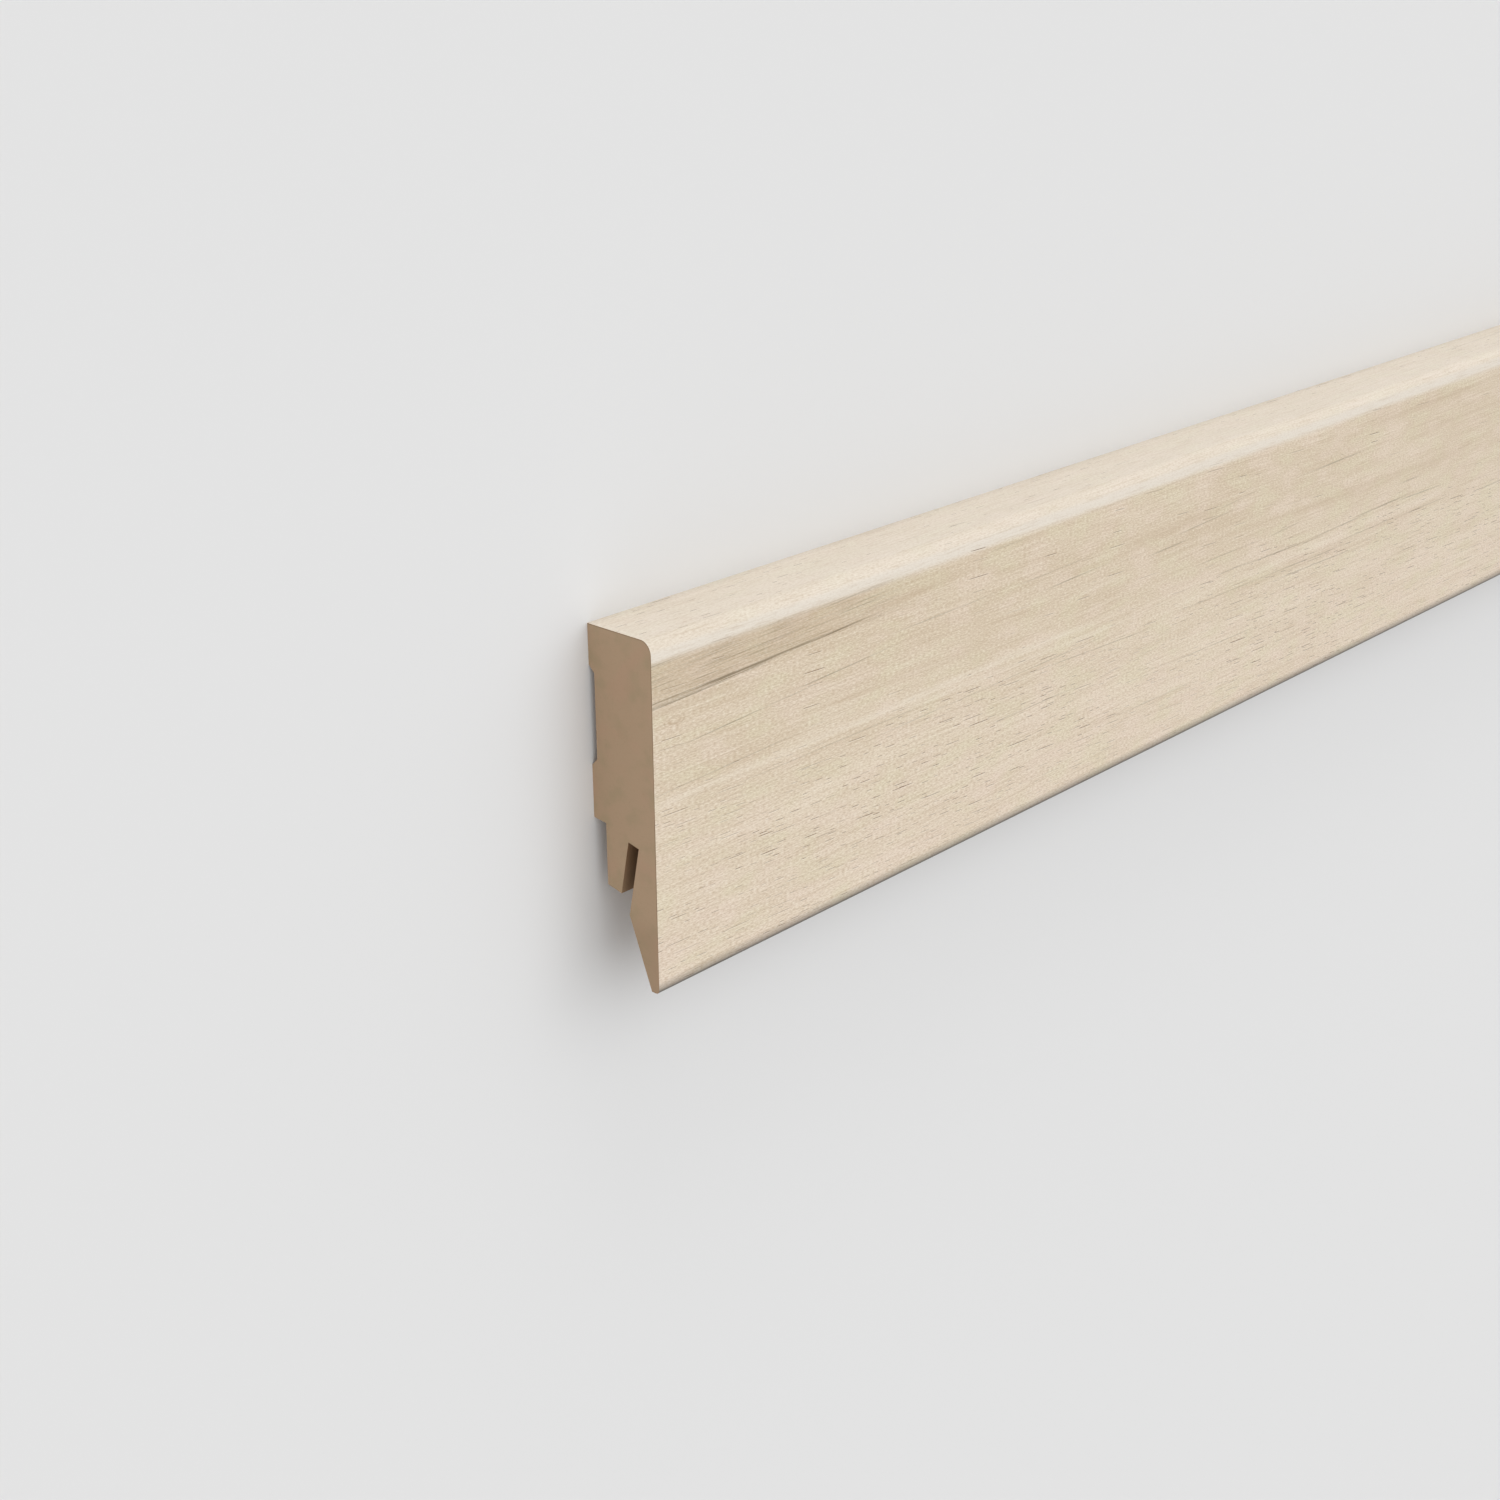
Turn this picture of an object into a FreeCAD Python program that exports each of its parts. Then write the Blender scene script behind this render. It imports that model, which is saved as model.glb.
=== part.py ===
"""A length of clip-fixed skirting board: a moulded fibreboard profile with a thin decor wrap, in millimetres.

The board lies on its back as it would on a floor: its length runs along X, its top edge points to +Y and its
face looks up along +Z. The origin is under the middle of the board, in the plane of its two wall lands.

The section is drawn as it is used on a wall, in two measures: how far a point lies behind the face, and how high
it lies above the foot of the lip.
"""
import FreeCAD, Part
import math
import os

# Overall size of the board
LENGTH = 2400.0
HEIGHT = 60.0
DEPTH = 14.0

# The decor wrap and the two roundings that it follows
WRAP_THICKNESS = 0.2
NOSE_RADIUS = 2.2
TOE_RADIUS = 0.8

# The back: two wall lands with a shallow relief channel between them
UPPER_LAND_WIDTH = 6.8
CHANNEL_DEPTH = 1.2
CHANNEL_FLOOR_WIDTH = 14.5
CHANNEL_BEVEL_ANGLE = 45.0
LOWER_LAND_WIDTH = 9.1

# The ledge under the lower land and the leg that hangs from it
LEDGE_DEPTH = 2.75
LEDGE_SLOPE_ANGLE = 5.5

# The lip at the foot, from its thin floor edge up to its thick shoulder
LIP_FOOT_THICKNESS = 1.7
LIP_SHOULDER_THICKNESS = 6.4
LIP_SHOULDER_HEIGHT = 12.2

# The clip slot between the lip and the leg, which leans towards the face as it rises
SLOT_LEAN_ANGLE = 11.5
SLOT_WIDTH = 2.35
SLOT_DEPTH = 12.65
LEG_SETBACK = 2.9


def at(behind, high):
    """The place in space of a point of the section, on the board's -X end."""
    return FreeCAD.Vector(-LENGTH / 2, high - HEIGHT / 2, DEPTH - behind)


def moved(point, direction, distance):
    """A point of the section moved some way along a direction of the section."""
    return (point[0] + direction[0] * distance, point[1] + direction[1] * distance)


def lip_back_thickness(high):
    """How far the lip's sloping back lies behind the face, at a height below its shoulder."""
    taper = (LIP_SHOULDER_THICKNESS - LIP_FOOT_THICKNESS) / LIP_SHOULDER_HEIGHT
    return LIP_FOOT_THICKNESS + taper * high


def rounded_path(corners):
    """Edges through the corners in order, each a (point, radius) pair, with an arc where the radius isn't 0."""
    edges = []
    start = at(*corners[0][0])
    for index in range(1, len(corners) - 1):
        point, radius = corners[index]
        corner = at(*point)
        to_before = (at(*corners[index - 1][0]) - corner).normalize()
        to_after = (at(*corners[index + 1][0]) - corner).normalize()
        half_turn = to_before.getAngle(to_after) / 2
        if radius == 0:
            arc_start = arc_end = corner
        else:
            setback = radius / math.tan(half_turn)
            arc_start = corner + to_before * setback
            arc_end = corner + to_after * setback
            centre = corner + (to_before + to_after).normalize() * (radius / math.sin(half_turn))
            arc_middle = centre + (corner - centre).normalize() * radius
        edges.append(Part.makeLine(start, arc_start))
        if radius > 0:
            edges.append(Part.Arc(arc_start, arc_middle, arc_end).toShape())
        start = arc_end
    edges.append(Part.makeLine(start, at(*corners[-1][0])))
    return edges


def front_path(inset):
    """The path of the wrap at some depth under its surface: top edge, nose, face, toe and foot of the lip."""
    return rounded_path([
        ((DEPTH, HEIGHT - inset), 0),
        ((inset, HEIGHT - inset), NOSE_RADIUS - inset),
        ((inset, inset), TOE_RADIUS - inset),
        ((lip_back_thickness(inset), inset), 0),
    ])


def back_path(inset):
    """The bare back of the profile, from the foot of the lip round the clip slot and up to the top edge."""
    lean = math.radians(SLOT_LEAN_ANGLE)
    up_slot = (-math.sin(lean), math.cos(lean))
    across_slot = (math.cos(lean), math.sin(lean))

    shoulder = (LIP_SHOULDER_THICKNESS, LIP_SHOULDER_HEIGHT)
    slot_end_front = moved(shoulder, up_slot, SLOT_DEPTH)
    slot_end_back = moved(slot_end_front, across_slot, SLOT_WIDTH)
    leg_front = moved(moved(shoulder, across_slot, SLOT_WIDTH), up_slot, LEG_SETBACK)
    leg_back_depth = DEPTH - LEDGE_DEPTH
    leg_end_width = (leg_back_depth - leg_front[0]) / across_slot[0]
    leg_back = moved(leg_front, across_slot, leg_end_width)

    bevel_height = CHANNEL_DEPTH / math.tan(math.radians(CHANNEL_BEVEL_ANGLE))
    upper_land_foot = HEIGHT - UPPER_LAND_WIDTH
    channel_top = upper_land_foot - bevel_height
    channel_foot = channel_top - CHANNEL_FLOOR_WIDTH
    lower_land_top = channel_foot - bevel_height
    lower_land_foot = lower_land_top - LOWER_LAND_WIDTH
    ledge_inner = lower_land_foot - LEDGE_DEPTH * math.tan(math.radians(LEDGE_SLOPE_ANGLE))
    channel_floor = DEPTH - CHANNEL_DEPTH

    points = [
        (lip_back_thickness(inset), inset),
        shoulder,
        slot_end_front,
        slot_end_back,
        leg_front,
        leg_back,
        (leg_back_depth, ledge_inner),
        (DEPTH, lower_land_foot),
        (DEPTH, lower_land_top),
        (channel_floor, channel_foot),
        (channel_floor, channel_top),
        (DEPTH, upper_land_foot),
        (DEPTH, HEIGHT - inset),
    ]
    return rounded_path([(point, 0) for point in points])


def board_length(edges):
    """A solid of the full length of the board, from the closed outline of its section."""
    outline = Part.Wire(Part.__sortEdges__(edges))
    return Part.Face(outline).extrude(FreeCAD.Vector(LENGTH, 0, 0))


def fibreboard_core():
    """The brown moulded profile under the wrap."""
    return board_length(front_path(WRAP_THICKNESS) + back_path(WRAP_THICKNESS))


def decor_wrap():
    """The thin pale covering, glued to the core and sawn off flush with it at both ends and at the back."""
    top_end = Part.makeLine(at(DEPTH, HEIGHT), at(DEPTH, HEIGHT - WRAP_THICKNESS))
    foot_end = Part.makeLine(at(lip_back_thickness(0), 0), at(lip_back_thickness(WRAP_THICKNESS), WRAP_THICKNESS))
    return board_length(front_path(0) + [foot_end] + front_path(WRAP_THICKNESS) + [top_end])


os.makedirs("parts", exist_ok=True)
fibreboard_core().exportStep("parts/fibreboard_core.step")
decor_wrap().exportStep("parts/decor_wrap.step")
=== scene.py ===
"""The finish of a skirting board length: a pale printed decor on a brown fibreboard profile.

The board lies on its back with its face up. Lengths are in metres, apart from the decor, which is drawn in
millimetres over the flat print: how far along the board, and how high up its girth, from the foot of the lip
over the face, round the nose and across the top edge.
"""
import math

import bmesh
import bpy
from mathutils import Matrix, Vector


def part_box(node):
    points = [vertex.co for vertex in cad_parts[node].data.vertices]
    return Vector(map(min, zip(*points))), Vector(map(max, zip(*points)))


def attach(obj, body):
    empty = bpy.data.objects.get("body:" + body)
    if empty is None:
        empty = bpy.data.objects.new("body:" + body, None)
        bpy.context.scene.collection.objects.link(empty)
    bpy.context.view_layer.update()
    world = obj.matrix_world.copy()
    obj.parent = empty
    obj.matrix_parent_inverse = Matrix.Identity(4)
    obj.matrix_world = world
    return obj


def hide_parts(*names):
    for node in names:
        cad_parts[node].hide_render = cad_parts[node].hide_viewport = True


bl_info = {
    "name": "Skirting board length",
    "version": (1, 0, 0),
    "blender": (4, 5, 0),
    "location": "View3D > Sidebar > Skirting",
    "description": "Dresses a fibreboard skirting board in its printed decor and sets its stage",
    "category": "Add Mesh",
}

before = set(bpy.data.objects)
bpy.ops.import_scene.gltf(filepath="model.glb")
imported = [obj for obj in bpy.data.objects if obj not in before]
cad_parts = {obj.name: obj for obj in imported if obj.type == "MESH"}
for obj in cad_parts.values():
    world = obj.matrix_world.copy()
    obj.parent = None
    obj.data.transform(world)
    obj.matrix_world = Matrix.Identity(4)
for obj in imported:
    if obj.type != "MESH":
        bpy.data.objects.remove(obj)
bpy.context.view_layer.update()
WRAP_LOW, WRAP_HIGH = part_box("decor_wrap")
CORE_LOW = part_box("fibreboard_core")[0]
MM = 0.001


def from_screen(red, green, blue):
    """A colour given as it shows on a screen, from 0 to 255, as the linear values that light works in."""
    def linear(level):
        share = level / 255
        return share / 12.92 if share <= 0.04045 else ((share + 0.055) / 1.055) ** 2.4
    return (linear(red), linear(green), linear(blue))


def size_property(name, description, default):
    """A length of the board, in metres."""
    return bpy.props.FloatProperty(
        name=name, description=description, default=default, min=0.0, unit="LENGTH", precision=4)


def colour_property(name, description, default):
    """A colour of a finish, in linear light."""
    return bpy.props.FloatVectorProperty(
        name=name, description=description, default=default, size=3, min=0.0, max=1.0, subtype="COLOR")


def lamp_property(name, description, default):
    """The strength of one of the stage's lamps."""
    return bpy.props.FloatProperty(name=name, description=description, default=default, min=0.0)


class WrapSizes(bpy.types.PropertyGroup):
    """The section that the decor wrap follows."""
    thickness: size_property("Thickness", "Of the wrap with its glue", CORE_LOW.y - WRAP_LOW.y)
    nose_radius: size_property("Nose radius", "Between the top edge and the face", 2.2 * MM)
    toe_radius: size_property("Toe radius", "Between the face and the foot of the lip", 0.8 * MM)
    foot_thickness: size_property("Foot thickness", "Of the lip where it meets the floor", 1.7 * MM)
    lip_taper: bpy.props.FloatProperty(
        name="Lip taper", description="How fast the lip grows thicker above its foot", default=4.7 / 12.2)
    station: size_property("Station", "Between the rings of the mesh along the board", 40 * MM)


class DecorLook(bpy.types.PropertyGroup):
    """The printed decor."""
    cream: colour_property("Cream", "Lighter ground of the print", from_screen(229, 215, 194))
    biscuit: colour_property("Biscuit", "Darker ground of the print", from_screen(209, 191, 165))
    rose: colour_property("Rose", "Pinkish clouds in the ground", from_screen(228, 210, 193))
    straw: colour_property("Straw", "Greenish clouds in the ground", from_screen(219, 210, 180))
    fibre: colour_property("Fibre", "Fine darker fibres", from_screen(187, 163, 133))
    vein: colour_property("Vein", "Long dark veins", from_screen(124, 108, 80))
    pore: colour_property("Pore", "Short pressed pores", from_screen(108, 72, 34))
    # Pale flecks and streaks of the print, and also the painted highlights just below the pores and strokes.
    light_grain_and_highlight: colour_property("Glint", "Light rims and light streaks", from_screen(240, 231, 216))
    # Painted highlight: this pale colour is laid along the nose, most just below its rounding, and less over
    # the top edge.
    nose: colour_property("Nose", "Paler band along the rounded nose", from_screen(230, 222, 210))
    # Painted shade: this dark colour is laid along the foot of the lip and faintly on the middle of the
    # nose; it also gives the darker line along the back of the top edge.
    toe: colour_property("Toe", "Worn, darker bottom edge", from_screen(78, 75, 69))
    roughness: bpy.props.FloatProperty(
        name="Roughness", description="Of the printed face", default=0.40, subtype="FACTOR")
    shine: bpy.props.FloatProperty(
        name="Shine", description="Of the printed face", default=0.52, subtype="FACTOR")
    pore_depth: size_property("Pore depth", "Of the pressed pores", 0.05 * MM)
    eye_along: bpy.props.FloatProperty(
        name="Eye along", description="Millimetres from the near end to the small oval figure", default=4.7)
    eye_climb: bpy.props.FloatProperty(
        name="Eye climb", description="Millimetres from the foot up to the small oval figure", default=46.2)


class CoreLook(bpy.types.PropertyGroup):
    """The bare fibreboard."""
    brown: colour_property("Brown", "Ground of the sawn fibreboard", from_screen(172, 146, 119))
    olive: colour_property("Olive", "Cooler clouds in it", from_screen(160, 141, 112))
    rose: colour_property("Rose", "Warmer clouds in it", from_screen(176, 144, 119))
    # Also the colour that the painted shade on the lip darkens towards.
    edge: colour_property("Edge", "Cut edge of the wrap and its glue", from_screen(150, 126, 100))
    # Painted shade: this colour is laid on the walls of the clip slot, more of it towards the slot's end.
    slot: colour_property("Slot", "Walls of the sawn clip slot", from_screen(128, 98, 70))
    roughness: bpy.props.FloatProperty(
        name="Roughness", description="Of the bare board", default=0.85, subtype="FACTOR")
    slot_mouth_depth: size_property("Slot mouth depth", "Behind the face, at the lip's shoulder", 6.4 * MM)
    slot_mouth_height: size_property("Slot mouth height", "Above the foot of the lip", 12.2 * MM)
    slot_width: size_property("Slot width", "Across the clip slot", 2.35 * MM)
    slot_depth: size_property("Slot depth", "From its mouth to its end", 12.65 * MM)
    slot_lean: bpy.props.FloatProperty(
        name="Slot lean", description="Lean of the slot towards the face", default=math.radians(11.5),
        subtype="ANGLE")


class StageLook(bpy.types.PropertyGroup):
    """The floor, the light and the camera."""
    floor_size: size_property("Floor size", "Across the round floor", 60.0)
    floor_colour: colour_property("Floor colour", "Plain pale floor", (0.745, 0.745, 0.745))
    sky_strength: bpy.props.FloatProperty(
        name="Sky strength", description="Of the even light from all round", default=0.52)
    overhead: lamp_property("Overhead", "Strength of the wide lamp above the board", 1.06)
    sheen: lamp_property("Sheen", "Strength of the lamp that gleams along the nose", 0.62)
    end_fill: lamp_property("End fill", "Strength of the low lamp on the sawn end", 0.35)
    top_fill: lamp_property("Top fill", "Strength of the low lamp on the top edge", 0.93)
    under_fill: lamp_property("Under fill", "Strength of the lamp that reaches under the lip", 0.60)
    lens: bpy.props.FloatProperty(name="Lens", description="Focal length in millimetres", default=52.24)
    camera_place: bpy.props.FloatVectorProperty(
        name="Camera place", description="Where the camera stands", unit="LENGTH", precision=4,
        default=(-1.4152, 0.1384, 0.2373))
    camera_target: bpy.props.FloatVectorProperty(
        name="Camera target", description="Point of the board in the middle of the picture", unit="LENGTH",
        precision=4, default=(-1.17833, 0.00606, 0.014))
    camera_roll: bpy.props.FloatProperty(
        name="Camera roll", description="Turn of the picture about its middle",
        default=math.radians(-0.42), subtype="ANGLE")


class Socket:
    """A node's output. Arithmetic on it adds the Math nodes that work the result out."""

    def __init__(self, finish, socket):
        self.finish = finish
        self.socket = socket

    def maths(self, operation, *values):
        """A Math node of this operation on the values, which are sockets or numbers."""
        return self.finish.node("ShaderNodeMath", {"operation": operation}, dict(enumerate(values)))

    def output(self, name):
        """Another output of the same node."""
        return Socket(self.finish, self.socket.node.outputs[name])

    def __add__(self, other):
        return self.maths("ADD", self, other)

    def __radd__(self, other):
        return self.maths("ADD", other, self)

    def __sub__(self, other):
        return self.maths("SUBTRACT", self, other)

    def __rsub__(self, other):
        return self.maths("SUBTRACT", other, self)

    def __mul__(self, other):
        return self.maths("MULTIPLY", self, other)

    def __rmul__(self, other):
        return self.maths("MULTIPLY", other, self)

    def __truediv__(self, other):
        return self.maths("DIVIDE", self, other)

    def __rtruediv__(self, other):
        return self.maths("DIVIDE", other, self)

    def at_least(self, other):
        return self.maths("MAXIMUM", self, other)

    def at_most(self, other):
        return self.maths("MINIMUM", self, other)

    def ease(self, low, high):
        """0 below low, 1 above high and a smooth rise between them. A low over high turns it round."""
        return self.finish.node(
            "ShaderNodeMapRange", {"interpolation_type": "SMOOTHSTEP"},
            {"Value": self, "From Min": low, "From Max": high, "To Min": 0.0, "To Max": 1.0})


class Finish:
    """A material in the making, with the one way that nodes come into it."""

    def __init__(self, name):
        self.material = bpy.data.materials.new(name)
        self.material.use_nodes = True
        self.nodes = self.material.node_tree.nodes
        self.links = self.material.node_tree.links
        self.shader = self.nodes["Principled BSDF"]

    def feed(self, target, value):
        """Links a socket to an input, or sets the input to a number or colour."""
        if isinstance(value, Socket):
            self.links.new(value.socket, target)
        elif target.type == "RGBA":
            target.default_value = (*value, 1.0)
        else:
            target.default_value = value

    def node(self, kind, settings, sockets, output=0):
        """Adds a node, with its settings first and then its sockets, and gives one of its outputs."""
        node = self.nodes.new(kind)
        for name, value in settings.items():
            setattr(node, name, value)
        for name, value in sockets.items():
            self.feed(node.inputs[name], value)
        return Socket(self, node.outputs[output])

    def noise(self, along, across, along_size, across_size, detail=2.0, shift=0.0, roughness=0.5):
        """Soft random grain from 0 to 1, whose grains have a size each way."""
        spot = self.node("ShaderNodeCombineXYZ", {}, {
            "X": along / along_size + shift, "Y": across / across_size + shift})
        return self.node(
            "ShaderNodeTexNoise", {"noise_dimensions": "2D"},
            {"Vector": spot, "Scale": 1.0, "Detail": detail, "Roughness": roughness})

    def blend(self, share, ground, over):
        """The colour over laid on the ground with a share from 0 to 1."""
        return self.node(
            "ShaderNodeMix", {"data_type": "RGBA", "clamp_factor": True},
            {0: share, 6: ground, 7: over}, output=2)

    def shade(self, sockets):
        """Sets sockets of the material's shader."""
        for name, value in sockets.items():
            self.feed(self.shader.inputs[name], value)


# Each vein and smear: where it starts and ends, as (along, climb), its half width and its strength.
DARK_VEINS = (
    ((-8, 49.75), (24, 50.50), 0.20, 0.70),
    ((-8, 48.80), (22, 49.85), 0.24, 0.65),
    ((-8, 49.30), (22, 50.20), 0.55, 0.40),
    ((12, 49.95), (27, 50.42), 0.40, 0.45),
    ((18, 50.25), (40, 50.95), 0.26, 0.85),
    ((36, 50.82), (51, 51.32), 0.22, 0.90),
    ((40, 55.8), (54, 56.45), 0.15, 0.60),
    ((16, 53.1), (35, 53.8), 0.15, 0.55),
    ((43, 54.3), (54, 54.75), 0.13, 0.45),
    ((44, 53.8), (54, 54.0), 0.13, 0.50),
    ((6, 54.7), (21, 54.85), 0.13, 0.45),
    ((9, 51.6), (15, 51.65), 0.13, 0.45),
    ((7, 41.5), (20, 42.2), 0.15, 0.50),
    ((18, 42.1), (36, 42.9), 0.15, 0.38),
    ((35, 43.5), (54, 44.3), 0.17, 0.62),
    ((62, 46.8), (83, 47.0), 0.18, 0.45),
    ((0, 34.5), (30, 35.5), 0.15, 0.42),
    ((22, 31.1), (66, 31.2), 0.13, 0.45),
    ((56, 29.0), (118, 29.7), 0.13, 0.40),
    ((104, 44.0), (120, 44.4), 0.20, 0.55),
    ((137, 42.6), (148, 42.9), 0.22, 0.50),
    ((148, 44.8), (164, 45.4), 0.18, 0.45),
    ((163, 47.0), (173, 47.6), 0.18, 0.45),
    ((155, 36.5), (175, 36.6), 0.15, 0.40),
    ((100, 28.5), (136, 27.2), 0.15, 0.45),
    ((163, 32.5), (173, 32.6), 0.20, 0.60),
    ((175, 32.3), (202, 31.7), 0.20, 0.70),
    ((202, 32.0), (221, 32.3), 0.18, 0.60),
    ((222, 32.7), (242, 32.9), 0.22, 0.70),
    ((241, 32.3), (258, 31.9), 0.20, 0.60),
    ((152, 28.2), (176, 27.8), 0.16, 0.45),
    ((182, 27.8), (216, 27.2), 0.16, 0.50),
    ((214, 28.5), (236, 28.6), 0.16, 0.45),
    ((244, 28.4), (264, 28.2), 0.16, 0.40),
    ((186, 25.9), (217, 25.3), 0.18, 0.50),
    ((240, 36.3), (247, 36.4), 0.20, 0.60),
    ((184, 36.5), (194, 36.9), 0.20, 0.45),
    ((197, 47.4), (219, 47.7), 0.24, 0.60),
    ((96, 46.9), (113, 47.2), 0.18, 0.40),
    ((88, 21.8), (112, 21.6), 0.16, 0.45),
    ((148, 17.6), (176, 17.1), 0.16, 0.50),
    ((130, 11.4), (152, 11.2), 0.16, 0.40),
    ((86, 55.2), (93, 55.3), 0.22, 0.40),
)
SMEARS = (
    ((54, 52.2), (78, 53.3), 0.90, 0.45),
    ((42, 38.2), (84, 37.8), 0.80, 0.35),
    ((-8, 47.9), (20, 48.3), 0.90, 0.45),
    ((84, 55.0), (100, 55.2), 0.70, 0.30),
    ((132, 46.3), (165, 47.2), 1.10, 0.40),
    ((168, 27.3), (212, 26.9), 1.00, 0.35),
    ((206, 28.0), (262, 28.6), 0.90, 0.30),
    ((190, 39.2), (270, 38.6), 1.40, 0.35),
    ((226, 52.9), (275, 53.6), 0.90, 0.45),
    ((252, 47.0), (275, 47.2), 0.70, 0.40),
)
LIGHT_VEINS = (
    ((0, 32.9), (66, 33.1), 0.80, 0.40),
    ((62, 33.4), (116, 33.5), 0.75, 0.52),
    ((60, 31.8), (130, 31.2), 0.60, 0.35),
    ((176, 29.6), (214, 29.9), 0.70, 0.18),
    ((222, 30.3), (262, 30.6), 0.80, 0.18),
)


class DecorPrint(Finish):
    """The printed and pressed decor, drawn over the flat print in millimetres and laid on coat by coat."""

    def __init__(self, look):
        super().__init__("decor_print")
        self.look = look
        self.colour = look.cream
        place = self.node("ShaderNodeUVMap", {"uv_map": "print"}, {})
        metres_along = self.node("ShaderNodeSeparateXYZ", {}, {0: place}, output="X")
        self.along = metres_along / MM
        self.climb = metres_along.output("Y") / MM
        self.far = self.along.ease(220.0, 420.0)
        wander = self.noise(self.along, self.climb, 330, 900, 1.0, 6.2) - 0.5
        waves = self.noise(self.along, self.climb, 130, 60, 1.0, 3.1) - 0.5
        self.zone = self.climb + wander * self.far * 46
        self.grain = self.climb + waves * 5
        self.fibres = self.noise(self.along, self.grain, 7, 0.55, 3.0, 2.9, 0.6)
        self.matted = self.noise(self.along, self.climb + self.along * 0.06, 0.75, 0.22, 2.0, 8.4, 0.6)

    def lay(self, share, colour):
        """Lays a colour over the coats before it, with a share from 0 to 1."""
        self.colour = self.blend(share, self.colour, colour)

    def lay_ground(self):
        """Soft clouds of cream and biscuit, with pinkish and greenish ones among them."""
        clouds = self.noise(self.along, self.grain, 34, 5, 2.0, 11.7)
        bands = self.noise(self.along, self.grain, 110, 2.4, 2.0, 5.3)
        tint = self.noise(self.along, self.grain, 11, 4.5, 1.0, 21.4)
        upper = self.zone.ease(20.0, 46.0)
        self.lay(upper * 0.42 + (clouds - 0.5) * 0.7 + (bands - 0.5) * 0.55 + 0.30, self.look.biscuit)
        self.lay(tint.ease(0.50, 0.72) * 0.45 + self.zone.ease(22.0, 8.0) * 0.30, self.look.rose)
        self.lay(tint.ease(0.48, 0.28) * 0.45, self.look.straw)

    def lay_grain(self):
        """A painted highlight along the nose and over the top edge, and the fine fibres and lines, fainter
        under it.
        """
        # Painted highlight: pale is the share of the nose colour, highest just below the nose and lower over
        # the nose and the whole top edge.
        pale = self.climb.ease(55.4, 57.0) * (self.climb.ease(58.8, 57.8) * 0.37 + 0.55)
        rough = 1 - pale * 0.7
        lines = self.noise(self.along, self.grain, 26, 0.20, 2.0, 9.9, 0.6)
        self.lay(pale, self.look.nose)
        self.lay(self.fibres.ease(0.48, 0.80) * 0.30, self.look.fibre)
        self.lay(self.matted.ease(0.42, 0.85) * rough * 0.75, self.look.fibre)
        self.lay(self.matted.ease(0.50, 0.20) * rough * 0.60, self.look.light_grain_and_highlight)
        self.lay(lines.ease(0.50, 0.80) * rough * 0.46, self.look.fibre)
        self.lay(lines.ease(0.46, 0.20) * rough * 0.35, self.look.light_grain_and_highlight)

    def comb_near_end(self):
        """The darker combed patch above the long vein at the near end."""
        patch = self.zone.ease(49.5, 51.0) * self.climb.ease(57.2, 56.0) * self.along.ease(78.0, 30.0)
        combed = self.noise(self.along, self.climb - self.along * 0.035, 14, 0.17, 2.0, 13.6, 0.6)
        self.lay(patch * 0.28, self.look.fibre)
        self.lay(combed.ease(0.46, 0.74) * patch * 0.42, self.look.vein)

    def draw_eye(self):
        """The small oval figure below the long vein: a ring in a ring."""
        eye_along = (self.along - self.look.eye_along) / 2.0
        eye_across = self.climb - self.look.eye_climb
        away = eye_along * eye_along + eye_across * eye_across
        inner = away.ease(0.10, 0.30) * away.ease(0.75, 0.45)
        outer = away.ease(0.95, 1.15) * away.ease(1.60, 1.25)
        self.lay((inner + outer) * self.fibres.ease(0.30, 0.70) * 0.60, self.look.fibre)

    def draw_veins(self):
        """The listed veins and smears, and scattered ones farther along than the list reaches, with painted
        highlights below those.
        """
        broken = self.noise(self.along, self.climb - self.along * 0.035, 13, 0.20, 3.0, 4.4, 0.6)
        broken = broken.ease(0.36, 0.62) * 0.75 + 0.25
        strokes, rims = self.dashes(self.grain, (70, 8), (24, 0.20), -0.03, self.far * 0.7, 51.9)
        dark = (self.veins(DARK_VEINS) + strokes * 0.6) * broken
        # Pale streaks of the print, with a painted highlight just below each scattered stroke.
        light = self.veins(LIGHT_VEINS) + rims * 0.4
        self.lay((self.veins(SMEARS) * 0.6).at_most(0.5), self.look.fibre)
        self.lay(dark.at_most(0.85), self.look.vein)
        self.lay(light * (1.3 - broken) * 0.8, self.look.light_grain_and_highlight)

    def press_pores(self):
        """Short and long pores, closest together on the lower half of the face, each with a painted
        highlight just below it.
        """
        lower = self.zone.ease(38.0, 24.0)
        crowded = lower * 0.50 + self.climb.ease(60.8, 62.0) * 0.20 + 0.05
        sparse = lower * 0.30 + 0.15
        short, short_highlight = self.dashes(self.climb, (3.2, 1.4), (1.4, 0.058), 0.05, crowded, 31.3)
        long, long_highlight = self.dashes(self.climb, (11.0, 1.9), (3.6, 0.066), 0.04, sparse, 7.7)
        patches = self.noise(self.along, self.climb, 62, 15, 1.0, 40.3).ease(0.32, 0.60) * 0.5 + 0.5
        self.pores = short.at_least(long) * patches
        self.lay(self.pores, self.look.pore)
        # Painted highlight just below each pore.
        self.lay(short_highlight.at_least(long_highlight) * (1 - self.pores) * 0.5, self.look.light_grain_and_highlight)

    def paint_edge_shade(self):
        """Painted shade along the foot, a faint painted shade on the middle of the nose, and a darker line
        along the back of the top edge.
        """
        # Painted shade on the foot, where the toe turns down, and a faint painted shade on the middle of the
        # nose; back is a darker line along the back of the top edge.
        foot = self.climb.ease(2.6, 0.2) * 0.70 + self.climb.ease(1.1, 0.3) * 0.28
        back = self.climb.ease(71.0, 73.2) * 0.12
        nose = self.climb.ease(57.6, 59.4) * self.climb.ease(61.8, 59.8) * 0.05
        self.lay(foot + back + nose, self.look.toe)

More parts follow.
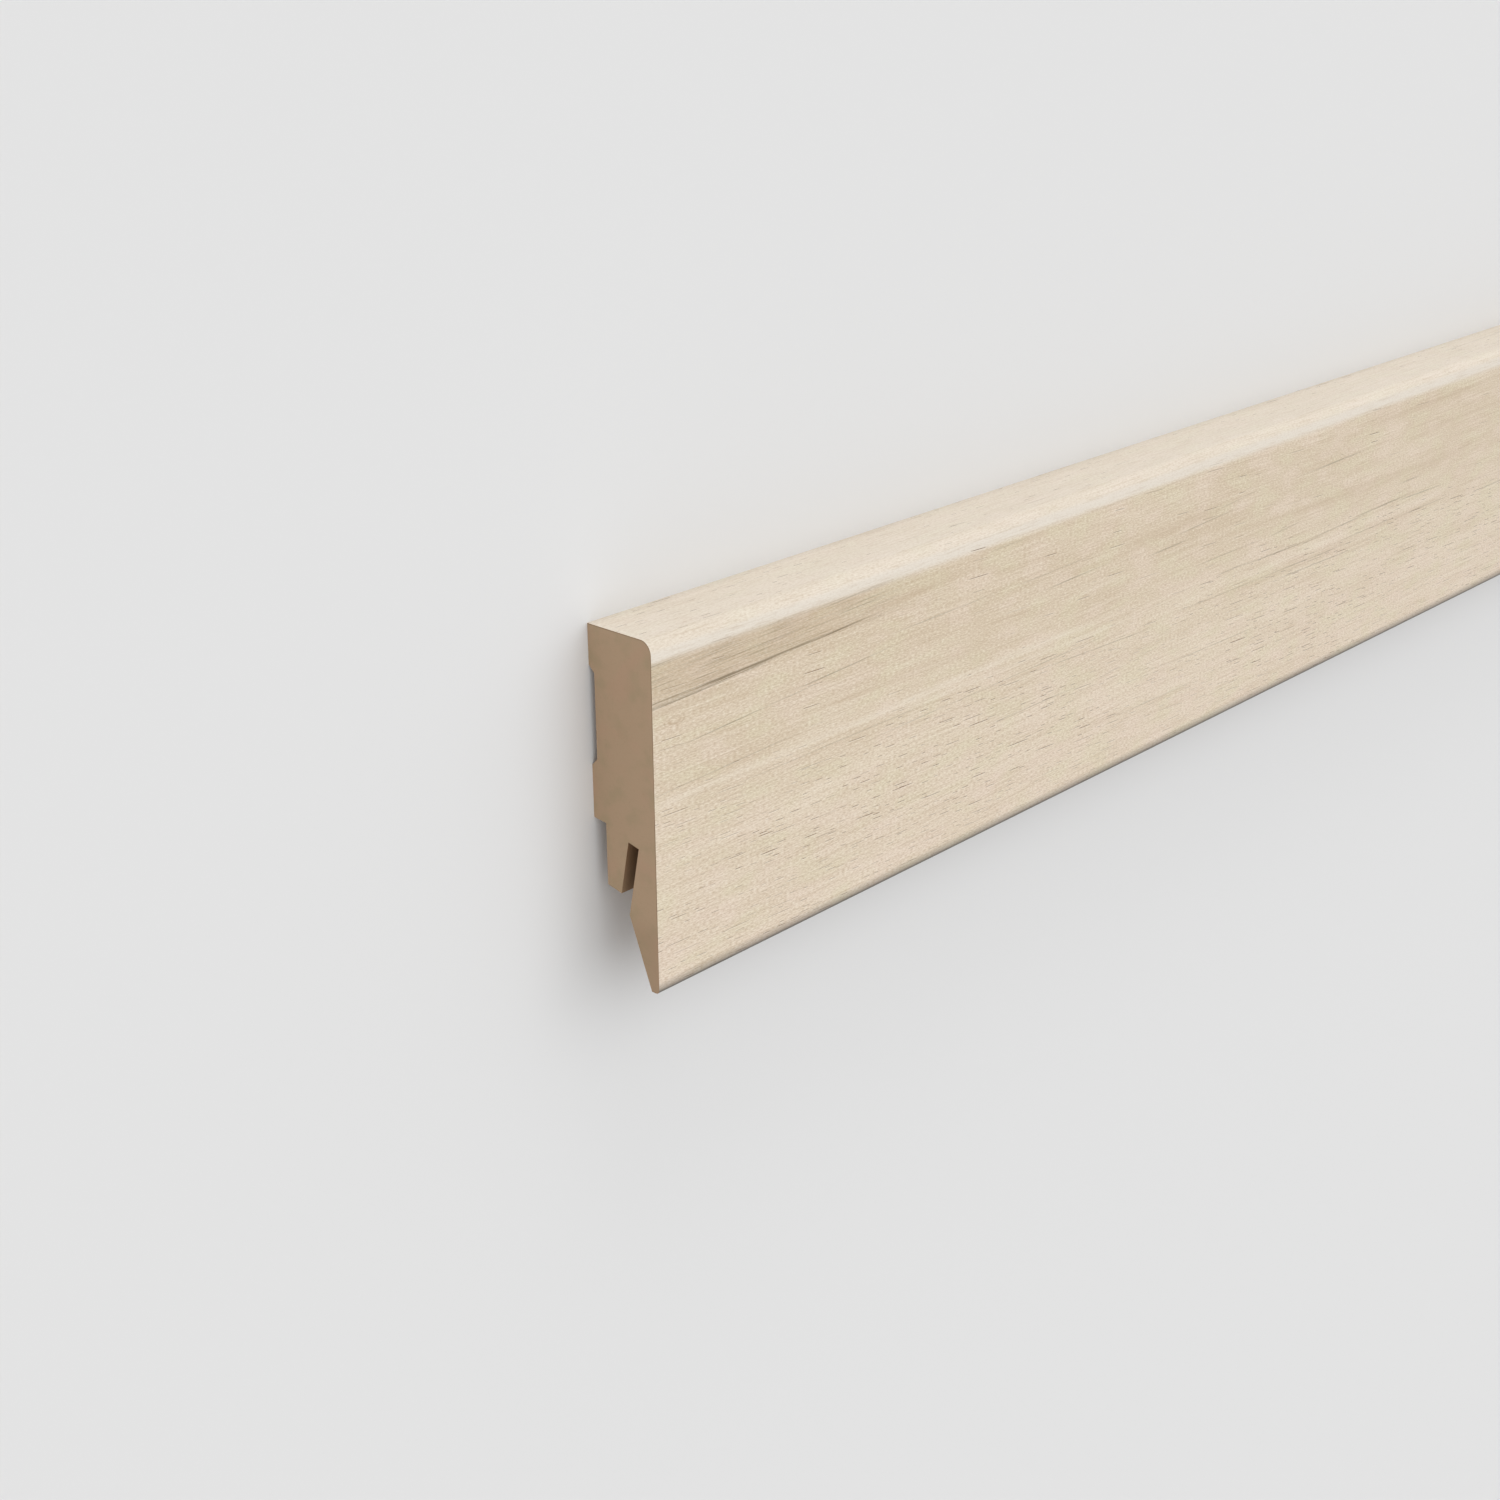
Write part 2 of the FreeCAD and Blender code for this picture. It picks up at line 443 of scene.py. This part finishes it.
    def finished(self):
        """Feeds the coats to the shader, with the pores pressed in, and gives the material."""
        height = self.fibres * 0.25 + self.matted * 0.3 - self.pores
        bump = self.node(
            "ShaderNodeBump", {}, {"Strength": 0.35, "Distance": self.look.pore_depth, "Height": height})
        self.shade({
            "Base Color": self.colour,
            "Roughness": self.fibres * 0.12 + self.pores * 0.25 + (self.look.roughness - 0.06),
            "Specular IOR Level": self.look.shine,
            "Normal": bump,
        })
        return self.material

    def dashes(self, climb, cell, half_size, slope, share, seed):
        """Strokes scattered one to a cell: how deep each spot lies in one, and how near just below one, for
        a painted highlight.

        cell and half_size are pairs of millimetres, along and across. share is how many cells hold a stroke.
        """
        cell_along, cell_across = cell
        half_long, half_wide = half_size
        spot = self.node("ShaderNodeCombineXYZ", {}, {
            "X": self.along / cell_along + seed, "Y": climb / cell_across + seed})
        nearest = self.node(
            "ShaderNodeTexVoronoi", {"voronoi_dimensions": "2D", "feature": "F1"},
            {"Vector": spot, "Scale": 1.0, "Randomness": 1.0}, output="Position")
        offset = self.node("ShaderNodeVectorMath", {"operation": "SUBTRACT"}, {0: spot, 1: nearest})
        offset_along = self.node("ShaderNodeSeparateXYZ", {}, {0: offset}, output="X")
        offset_across = offset_along.output("Y")
        chance = self.node("ShaderNodeSeparateColor", {}, {0: nearest.output("Color")}, output="Red")
        length_share = chance.output("Green") * 0.6 + 0.4
        away_along = offset_along * cell_along / (length_share * half_long)
        ends = away_along * away_along
        tilted = offset_across * cell_across + offset_along * (cell_along * slope)
        away_across = tilted / half_wide
        below = away_across + 2.0
        there = (share - chance).ease(0.0, 0.08) * (chance.output("Blue") * 0.6 + 0.4)
        stroke = (ends * ends + away_across * away_across).ease(1.3, 0.3)
        # Where the painted highlight goes, just below the stroke.
        rim = (ends * ends + below * below).ease(1.5, 0.2)
        return stroke * there, rim * there

    def vein(self, start, end, half_width, strength):
        """One vein between two (along, climb) points, which fades in and out at its ends."""
        rise = (end[1] - start[1]) / (end[0] - start[0])
        fade = min(8.0, (end[0] - start[0]) / 3)
        away = (self.climb - (self.along - start[0]) * rise - start[1]) / half_width
        body = (1 - away * away).at_least(0.0)
        fade_in = self.along.ease(start[0] - fade, start[0] + fade)
        fade_out = self.along.ease(end[0] + fade, end[0] - fade)
        return body * fade_in * fade_out * strength

    def veins(self, lines):
        """All of these veins together."""
        return sum((self.vein(*line) for line in lines[1:]), self.vein(*lines[0]))


def decor_finish(look):
    """The material of the printed face, with its coats in the order that they go on."""
    decor = DecorPrint(look)
    decor.lay_ground()
    decor.lay_grain()
    decor.comb_near_end()
    decor.draw_eye()
    decor.draw_veins()
    decor.press_pores()
    decor.paint_edge_shade()
    return decor.finished()


def slot_shade(finish, spot, look):
    """The share of painted shade on the walls of the clip slot: 0 outside it, rising from its mouth to its
    end.
    """
    height = finish.node("ShaderNodeSeparateXYZ", {}, {0: spot}, output="Y")
    high = height - WRAP_LOW.y - look.slot_mouth_height
    behind = WRAP_HIGH.z - height.output("Z") - look.slot_mouth_depth
    lean_sine = math.sin(look.slot_lean)
    lean_cosine = math.cos(look.slot_lean)
    across = behind * lean_cosine + high * lean_sine
    inward = high * lean_cosine - behind * lean_sine
    rim = 0.05 * MM
    between_walls = across.ease(-rim, 0.0) * across.ease(look.slot_width + rim, look.slot_width)
    before_end = inward.ease(look.slot_depth + rim, look.slot_depth)
    return between_walls * before_end * inward.ease(-look.slot_depth * 0.5, look.slot_depth)


def fibreboard_finish(name, look, ground, slotted=False):
    """Sawn or moulded fibreboard: nearly even brown with faint clouds and short matted fibres. When slotted,
    painted shade darkens the lip and the clip slot.
    """
    finish = Finish(name)
    spot = finish.node("ShaderNodeTexCoord", {}, {}, output="Object")
    clouds = finish.node("ShaderNodeTexNoise", {}, {"Vector": spot, "Scale": 260.0, "Detail": 2.0})
    warmth = finish.node("ShaderNodeTexNoise", {}, {"Vector": spot, "Scale": 170.0, "Detail": 1.0})
    matted = finish.node("ShaderNodeTexNoise", {}, {"Vector": spot, "Scale": 2600.0, "Detail": 3.0})
    colour = finish.blend(clouds.ease(0.45, 0.70) * 0.6, ground, look.olive)
    colour = finish.blend(warmth.ease(0.50, 0.72) * 0.5, colour, look.rose)
    colour = finish.blend(matted.ease(0.52, 0.80) * 0.25, colour, look.edge)
    if slotted:
        # Painted shade: the lip is darkened towards the edge colour below 9 mm, fading out by 14 mm above
        # its foot.
        height = finish.node("ShaderNodeSeparateXYZ", {}, {0: spot}, output="Y") - WRAP_LOW.y
        colour = finish.blend(height.ease(14 * MM, 9 * MM) * 0.4, colour, look.edge)
        # Painted shade in the clip slot, deepening towards its end.
        colour = finish.blend(slot_shade(finish, spot, look), colour, look.slot)
    finish.shade({
        "Base Color": colour,
        "Roughness": look.roughness,
        "Specular IOR Level": 0.25,
        "Normal": finish.node(
            "ShaderNodeBump", {}, {"Strength": 0.5, "Distance": 0.04 * MM, "Height": matted}),
    })
    return finish.material


ARC_STEPS = 14
BAKE_ROWS = 5


def arc(centre, radius, start, end):
    """Points of a rounding in the section. Its angles are in degrees, from the top edge towards the face."""
    points = []
    for i in range(ARC_STEPS + 1):
        angle = math.radians(start + (end - start) * i / ARC_STEPS)
        points.append(Vector((centre[0] + radius * math.cos(angle), centre[1] + radius * math.sin(angle))))
    return points


def straight(start, end, count):
    """Points that divide a straight run evenly, without its end."""
    return [start.lerp(end, i / count) for i in range(count)]


def section_path(sizes, inset):
    """Points of the wrap's section, as (height, depth), from the back of the top edge round to the foot."""
    top = WRAP_HIGH.y
    foot = WRAP_LOW.y
    face = WRAP_HIGH.z
    back = WRAP_LOW.z
    nose_centre = (top - sizes.nose_radius, face - sizes.nose_radius)
    toe_centre = (foot + sizes.toe_radius, face - sizes.toe_radius)
    foot_end = face - sizes.foot_thickness - sizes.lip_taper * inset
    nose = arc(nose_centre, sizes.nose_radius - inset, 0, 90)
    toe = arc(toe_centre, sizes.toe_radius - inset, 90, 180)
    return [
        *straight(Vector((top - inset, back)), nose[0], 4),
        *nose,
        *straight(nose[-1], toe[0], 14)[1:],
        *toe,
        Vector((foot + inset, foot_end)),
    ]


def walked_along(points):
    """How far round the section each point lies from the first."""
    walked = [0.0]
    for before, after in zip(points, points[1:]):
        walked.append(walked[-1] + (after - before).length)
    return walked


class FoldedMap:
    """Places on the map for baked colours, which holds the long print as rows, one above the other."""

    def __init__(self, walked, stations):
        self.shares = [w / walked[-1] for w in walked]
        self.per_row = stations / BAKE_ROWS

    def share(self, spot):
        """How far round the section a point of a ring lies, and whether it is on the outer side."""
        outer = spot < len(self.shares)
        return self.shares[spot if outer else 2 * len(self.shares) - 1 - spot], outer

    def row(self, station):
        """The row of the faces between this station and the next."""
        return int(station / self.per_row)

    def on_length(self, station, spot, row, closing):
        """A point of a long face. The outer side fills most of its row, and the glued side what is left."""
        share, outer = self.share(spot)
        up_row = 0.99 - 0.90 * share if outer else 0.02 + 0.05 * share
        if closing and spot == 0:
            up_row = 0.01
        return (0.002 + 0.996 * (station / self.per_row - row), 0.975 * (row + up_row) / BAKE_ROWS)

    def on_end(self, station, spot):
        """A point of the thin sawn ends, which lie side by side above the rows."""
        share, outer = self.share(spot)
        sideways = 0.01 + 0.48 * share if station == 0 else 0.99 - 0.48 * share
        return (sideways, 0.983 if outer else 0.995)


def sweep_rings(mesh, ring, stations):
    """Rings of vertices along the board, and each vertex's seat: its station and its spot in the ring."""
    rings = []
    seats = {}
    for station in range(stations + 1):
        x = WRAP_LOW.x + (WRAP_HIGH.x - WRAP_LOW.x) * station / stations
        rings.append([mesh.verts.new((x, point.x, point.y)) for point in ring])
        seats.update((vert, (station, spot)) for spot, vert in enumerate(rings[-1]))
    return rings, seats


def build_wrap(sizes):
    """The mesh of the wrap: a thin skin swept along the board, closed at its cut edges."""
    outer = section_path(sizes, 0.0)
    inner = section_path(sizes, sizes.thickness)
    walked = walked_along(outer)
    toe_start = walked[len(outer) - 2 - ARC_STEPS]
    climbs = [toe_start - w + sizes.toe_radius for w in walked]
    climbs += climbs[::-1]
    count = len(climbs)
    last_outer = len(outer) - 1
    stations = BAKE_ROWS * round((WRAP_HIGH.x - WRAP_LOW.x) / sizes.station / BAKE_ROWS)
    folded = FoldedMap(walked, stations)

    mesh = bmesh.new()
    flat_print = mesh.loops.layers.uv.new("print")
    bake_map = mesh.loops.layers.uv.new("OFBake")
    rings, seats = sweep_rings(mesh, outer + inner[::-1], stations)
    sides = {}
    for i in range(stations):
        for j in range(count):
            k = (j + 1) % count
            face = mesh.faces.new((rings[i][j], rings[i + 1][j], rings[i + 1][k], rings[i][k]))
            face.material_index = 1 if j in (last_outer, count - 1) else 0
            sides[face] = (folded.row(i), k == 0)
    ends = []
    for verts, order in ((rings[0], 1), (rings[-1], -1)):
        for j in range(last_outer):
            corners = (verts[j], verts[j + 1], verts[count - 2 - j], verts[count - 1 - j])
            ends.append(mesh.faces.new(corners[::order]))
            ends[-1].material_index = 1
    bmesh.ops.recalc_face_normals(mesh, faces=mesh.faces)

    for face in mesh.faces:
        face.smooth = True
        for loop in face.loops:
            loop[flat_print].uv = (loop.vert.co.x - WRAP_LOW.x, climbs[seats[loop.vert][1]])
    for face, (row, closing) in sides.items():
        for loop in face.loops:
            loop[bake_map].uv = folded.on_length(*seats[loop.vert], row, closing)
    for face in ends:
        for loop in face.loops:
            loop[bake_map].uv = folded.on_end(*seats[loop.vert])
    for edge in mesh.edges:
        edge.smooth = edge.calc_face_angle(0.0) < math.radians(30)
    data = bpy.data.meshes.new("decor_skin")
    mesh.to_mesh(data)
    mesh.free()
    return data


class BOARD_OT_decor_wrap(bpy.types.Operator):
    """Builds the decor wrap with its printed face and its cut edges"""
    bl_idname = "board.decor_wrap"
    bl_label = "Decor wrap"

    def execute(self, context):
        look = context.scene.board_decor
        skin = bpy.data.objects.new("decor_skin", build_wrap(context.scene.board_wrap))
        context.scene.collection.objects.link(skin)
        skin.data.materials.append(decor_finish(look))
        core = context.scene.board_core
        skin.data.materials.append(fibreboard_finish("decor_cut_edge", core, core.edge))
        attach(skin, "root")
        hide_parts("decor_wrap")
        return {"FINISHED"}


class BOARD_OT_fibreboard_core(bpy.types.Operator):
    """Gives the moulded fibreboard profile its bare brown finish"""
    bl_idname = "board.fibreboard_core"
    bl_label = "Fibreboard core"

    def execute(self, context):
        look = context.scene.board_core
        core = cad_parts["fibreboard_core"]
        core.data.materials.clear()
        core.data.materials.append(fibreboard_finish("bare_fibreboard", look, look.brown, slotted=True))
        return {"FINISHED"}


LAMPS = {
    "overhead": ((0.15, 0.30, 0.94), 80),
    "sheen": ((0.67, 0.66, 0.34), 75),
    "end_fill": ((-1.0, 0.1, 0.08), 30),
    "top_fill": ((0.1, 1.0, 0.08), 30),
    "under_fill": ((-0.5, -0.75, 0.42), 70),
}


class BOARD_OT_stage(bpy.types.Operator):
    """Lays the pale floor, lights it softly and sets the camera"""
    bl_idname = "board.stage"
    bl_label = "Stage"

    def execute(self, context):
        look = context.scene.board_stage
        self.lay_floor(context, look)
        self.light(context, look)
        self.set_camera(context, look)
        context.scene.view_settings.view_transform = "Standard"
        return {"FINISHED"}

    def lay_floor(self, context, look):
        mesh = bmesh.new()
        bmesh.ops.create_circle(mesh, cap_ends=True, segments=128, radius=look.floor_size / 2)
        data = bpy.data.meshes.new("floor")
        mesh.to_mesh(data)
        mesh.free()
        floor = bpy.data.objects.new("floor", data)
        context.scene.collection.objects.link(floor)
        finish = Finish("pale_floor")
        finish.shade({"Base Color": look.floor_colour, "Roughness": 0.9, "Specular IOR Level": 0.1})
        data.materials.append(finish.material)

    def light(self, context, look):
        world = bpy.data.worlds.new("even_light")
        world.use_nodes = True
        background = world.node_tree.nodes["Background"]
        background.inputs["Color"].default_value = (1.0, 1.0, 1.0, 1.0)
        background.inputs["Strength"].default_value = look.sky_strength
        context.scene.world = world
        for name, (shines_from, spread) in LAMPS.items():
            lamp = bpy.data.lights.new(name, "SUN")
            lamp.energy = getattr(look, name)
            lamp.angle = math.radians(spread)
            sun = bpy.data.objects.new(name, lamp)
            sun.rotation_euler = Vector(shines_from).to_track_quat("Z", "Y").to_euler()
            context.scene.collection.objects.link(sun)

    def set_camera(self, context, look):
        lens = bpy.data.cameras.new("camera")
        lens.lens = look.lens
        lens.sensor_width = 36.0
        camera = bpy.data.objects.new("camera", lens)
        place = Vector(look.camera_place)
        ahead = (Vector(look.camera_target) - place).normalized()
        right = ahead.cross(Vector((0.0, 1.0, 0.0))).normalized()
        level = Matrix((right, right.cross(ahead), -ahead)).transposed()
        roll = Matrix.Rotation(look.camera_roll, 3, "Z")
        camera.matrix_world = Matrix.Translation(place) @ (level @ roll).to_4x4()
        context.scene.collection.objects.link(camera)
        context.scene.camera = camera


class BOARD_PT_panel(bpy.types.Panel):
    """The board's pieces, sizes and colours"""
    bl_idname = "BOARD_PT_panel"
    bl_label = "Skirting board"
    bl_space_type = "VIEW_3D"
    bl_region_type = "UI"
    bl_category = "Skirting"

    def draw(self, context):
        for group, operator in PIECES:
            box = self.layout.box()
            settings = getattr(context.scene, group)
            for name in settings.__annotations__:
                box.prop(settings, name)
            box.operator(operator)


PIECES = (
    ("board_wrap", "board.decor_wrap"),
    ("board_decor", "board.decor_wrap"),
    ("board_core", "board.fibreboard_core"),
    ("board_stage", "board.stage"),
)
GROUPS = {
    "board_wrap": WrapSizes,
    "board_decor": DecorLook,
    "board_core": CoreLook,
    "board_stage": StageLook,
}
CLASSES = (
    *GROUPS.values(), BOARD_OT_decor_wrap, BOARD_OT_fibreboard_core, BOARD_OT_stage, BOARD_PT_panel)


def register():
    for item in CLASSES:
        bpy.utils.register_class(item)
    for name, group in GROUPS.items():
        setattr(bpy.types.Scene, name, bpy.props.PointerProperty(type=group))


def unregister():
    for name in GROUPS:
        delattr(bpy.types.Scene, name)
    for item in reversed(CLASSES):
        bpy.utils.unregister_class(item)


def main():
    register()
    bpy.ops.board.decor_wrap()
    bpy.ops.board.fibreboard_core()
    bpy.ops.board.stage()


if __name__ == "__main__":
    main()
